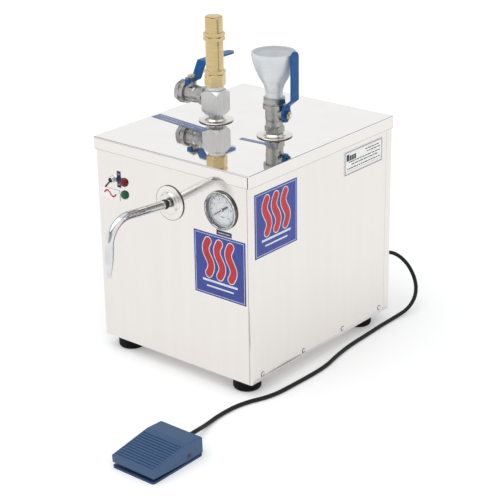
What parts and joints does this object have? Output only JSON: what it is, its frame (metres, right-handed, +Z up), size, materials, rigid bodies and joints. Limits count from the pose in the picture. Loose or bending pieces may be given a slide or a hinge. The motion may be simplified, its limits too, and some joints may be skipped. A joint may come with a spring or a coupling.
{
  "type": "jewelry steam cleaner",
  "caption": "Bench steam cleaner in a steel case with a bent steam nozzle, gauge, safety valve, two lever ball valves, a filling funnel and a foot pedal on a cord.",
  "frame": {"origin": "on the floor under the middle of the bounding box of the machine and its pedal, without the cord", "axes": "+Z up; -Y is the front panel with the nozzle and gauge; +X is the side the pedal lies towards"},
  "size_m": [0.3312, 0.6575, 0.4798],
  "materials": {
    "casing_steel": "satin",
    "rivet_steel": "satin",
    "foot_rubber": "matte",
    "zinc_steel": "satin",
    "label_blue": "gloss",
    "plate_aluminium": "satin",
    "label_white": "gloss",
    "switch_black": "matte",
    "lens_red": "gloss",
    "lens_green": "gloss",
    "polished_chrome": "polished",
    "gauge_steel": "satin",
    "gauge_glass": "clear",
    "dial_white": "satin",
    "needle_black": "satin",
    "seal_black": "matte",
    "pipe_steel": "satin",
    "cast_zinc": "satin",
    "valve_nickel": "satin",
    "machined_brass": "satin",
    "lever_blue": "gloss",
    "spun_aluminium": "satin",
    "boiler_steel": "satin",
    "coil_black": "matte",
    "spring_steel": "satin",
    "pedal_blue": "satin",
    "cord_black": "matte"
  },
  "bodies": {
    "machine": {"case_wrap": "casing_steel", "rear_panel": "casing_steel", "base_pan": "casing_steel", "lid": "casing_steel", "case_rivets": "rivet_steel", "feet": "foot_rubber", "foot_screws": "zinc_steel", "panel_labels": "label_blue", "data_plate": "plate_aluminium", "strip_labels": "label_blue", "voltage_label": "label_white", "switch_plate": "label_blue", "switch_body": "switch_black", "switch_nut": "zinc_steel", "red_lamp": "lens_red", "green_lamp": "lens_green", "gauge_case": "gauge_steel", "gauge_bezel": "polished_chrome", "gauge_lens": "gauge_glass", "gauge_dial": "dial_white", "nozzle_stub": "pipe_steel", "nozzle_ring": "seal_black", "pipe_flanges": "polished_chrome", "pipe_nipples": "pipe_steel", "tee_block": "cast_zinc", "relief_body": "machined_brass", "relief_nuts": "machined_brass", "relief_cap": "machined_brass", "relief_spring": "spring_steel", "vent_body": "valve_nickel", "vent_cap": "valve_nickel", "fill_body": "valve_nickel", "fill_cap": "valve_nickel", "funnel": "spun_aluminium", "boiler": "boiler_steel", "heating_element": "boiler_steel", "steam_valve": "machined_brass", "valve_coil": "coil_black", "boiler_pipes": "pipe_steel", "pressure_switch": "coil_black", "cable_glands": "coil_black", "pedal_base": "pedal_blue", "pedal_pin": "polished_chrome", "pedal_spring": "spring_steel", "pedal_switch": "coil_black", "pedal_cord": "cord_black", "pedal_grommet": "cord_black"},
    "nozzle": {"nozzle_spout": "polished_chrome"},
    "vent_handle": {"vent_ball": "polished_chrome", "vent_lever": "lever_blue", "vent_nut": "zinc_steel"},
    "fill_handle": {"fill_ball": "polished_chrome", "fill_lever": "lever_blue", "fill_nut": "zinc_steel"},
    "toggle": {"switch_lever": "zinc_steel"},
    "needle": {"gauge_needle": "needle_black"},
    "relief_valve_disc": {"relief_disc": "machined_brass"},
    "solenoid_plunger": {"valve_plunger": "zinc_steel"},
    "treadle": {"pedal_treadle": "pedal_blue"},
    "switch_plunger": {"pedal_plunger": "coil_black"}
  },
  "joints": [
    {"name": "nozzle_swivel", "type": "hinge", "parent": "machine", "child": "nozzle", "pos_m": [-0.02375, -0.04675, 0.2575], "axis": [0, -0.9969, 0.0785], "range_deg": [-90, 90]},
    {"name": "vent_lever_turn", "type": "hinge", "parent": "machine", "child": "vent_handle", "pos_m": [-0.11955, 0.11125, 0.3592], "axis": [0, 0, 1], "range_deg": [0, 90]},
    {"name": "fill_lever_turn", "type": "hinge", "parent": "machine", "child": "fill_handle", "pos_m": [0.03755, 0.10645, 0.3605], "axis": [1, 0, 0], "range_deg": [0, 90]},
    {"name": "toggle_throw", "type": "hinge", "parent": "machine", "child": "toggle", "pos_m": [-0.12935, -0.05325, 0.2697], "axis": [-1, 0, 0], "range_deg": [0, 58]},
    {"name": "needle_turn", "type": "hinge", "parent": "machine", "child": "needle", "pos_m": [0.06815, -0.04515, 0.2675], "axis": [0, 1, 0], "range_deg": [0, 260], "stiffness_Nm_per_rad": 0.00005, "springref_deg": -22.92},
    {"name": "relief_lift", "type": "slide", "parent": "machine", "child": "relief_valve_disc", "axis": [0, 0, 1], "range_m": [0, 0.002], "stiffness_N_per_m": 4000, "springref_m": -0.004, "deforming": ["relief_spring"]},
    {"name": "solenoid_stroke", "type": "slide", "parent": "machine", "child": "solenoid_plunger", "axis": [0, 0.0785, 0.9969], "range_m": [0, 0.003], "stiffness_N_per_m": 300, "springref_m": -0.004},
    {"name": "pedal_press", "type": "hinge", "parent": "machine", "child": "treadle", "pos_m": [0.12825, -0.23025, 0.011], "axis": [1, 0, 0], "range_deg": [0, 3.2], "stiffness_Nm_per_rad": 6, "springref_deg": -6.88, "deforming": ["pedal_spring"]},
    {"name": "plunger_press", "type": "slide", "parent": "machine", "child": "switch_plunger", "axis": [0, 0, -1], "range_m": [0, 0.0016]}
  ],
  "couplings": [
    {"joint": "plunger_press", "follows": "pedal_press", "m_per_rad": 0.024}
  ]
}
